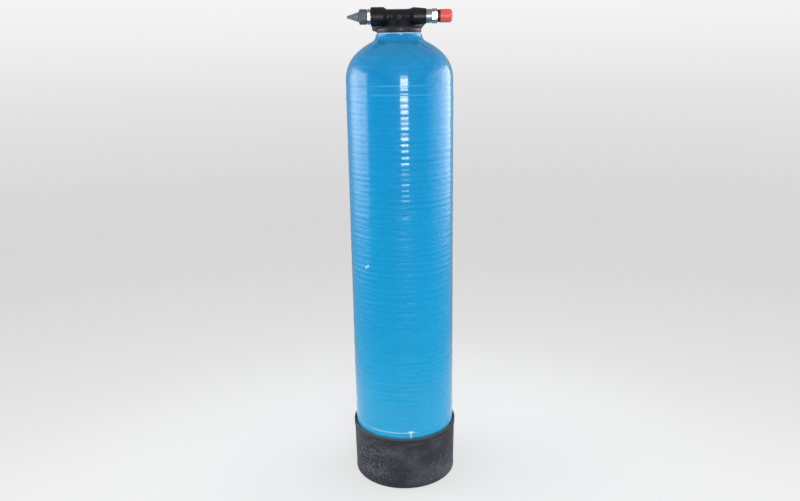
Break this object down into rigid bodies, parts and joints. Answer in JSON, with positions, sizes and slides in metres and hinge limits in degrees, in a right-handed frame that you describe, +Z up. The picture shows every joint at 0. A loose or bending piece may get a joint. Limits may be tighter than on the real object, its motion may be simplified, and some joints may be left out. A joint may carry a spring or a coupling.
{
  "type": "deionizer resin vessel",
  "caption": "Tall wound glass-fibre resin vessel in a rubber boot, with a screwed in/out head, hose tail and capped outlet, for making deionized water.",
  "frame": {"origin": "centre of the boot's foot, on the floor", "axes": "+Z up along the tank's axis; the ports lie along X, inlet hose tail on -X, capped outlet on +X"},
  "size_m": [0.273, 0.273, 1.187],
  "materials": {
    "boot_rubber": "matte",
    "blue_shell": "gloss",
    "liner_plastic": "satin",
    "insert_plastic": "satin",
    "red_seal": "matte",
    "head_plastic": "satin",
    "seal_rubber": "matte",
    "tube_plastic": "satin",
    "strainer_plastic": "satin",
    "resin_beads": "matte",
    "nickel": "polished",
    "thread_tape": "satin",
    "nut_plastic": "satin",
    "tail_plastic": "satin",
    "cap_plastic": "gloss"
  },
  "bodies": {
    "vessel": {"base_boot": "boot_rubber", "wound_shell": "blue_shell", "inner_liner": "liner_plastic", "neck_insert": "insert_plastic", "resin_bed": "resin_beads", "riser_tube": "tube_plastic", "bottom_strainer": "strainer_plastic", "strainer_end_cap": "strainer_plastic"},
    "seal": {"head_seal_ring": "red_seal"},
    "head": {"head_body": "head_plastic", "riser_seal": "seal_rubber", "top_strainer": "strainer_plastic", "inlet_nipple": "nickel", "inlet_thread_tape": "thread_tape", "outlet_nipple": "nickel", "outlet_thread_tape": "thread_tape", "outlet_seal": "seal_rubber"},
    "hose_tail": {"inlet_hose_tail": "tail_plastic", "inlet_washer": "seal_rubber"},
    "union_nut": {"inlet_union_nut": "nut_plastic"},
    "cap": {"dust_cap": "cap_plastic"}
  },
  "joints": [
    {"name": "head_lift", "type": "slide", "parent": "vessel", "child": "seal", "axis": [0, 0, 1], "range_m": [0, 0.02541]},
    {"name": "head_turn", "type": "hinge", "parent": "seal", "child": "head", "pos_m": [0, 0, 1.128], "axis": [0, 0, 1], "range_deg": [0, 2880]},
    {"name": "tail_slide", "type": "slide", "parent": "head", "child": "hose_tail", "axis": [-1, 0, 0], "range_m": [0, 0.00908]},
    {"name": "nut_turn", "type": "hinge", "parent": "hose_tail", "child": "union_nut", "pos_m": [-0.0827, 0, 1.1655], "axis": [-1, 0, 0], "range_deg": [0, 1800]},
    {"name": "cap_pull", "type": "slide", "parent": "head", "child": "cap", "axis": [1, 0, 0], "range_m": [0, 0.03]}
  ],
  "couplings": [
    {"joint": "head_lift", "follows": "head_turn", "m_per_rad": 0.00050532},
    {"joint": "tail_slide", "follows": "nut_turn", "m_per_rad": 0.00028875}
  ]
}
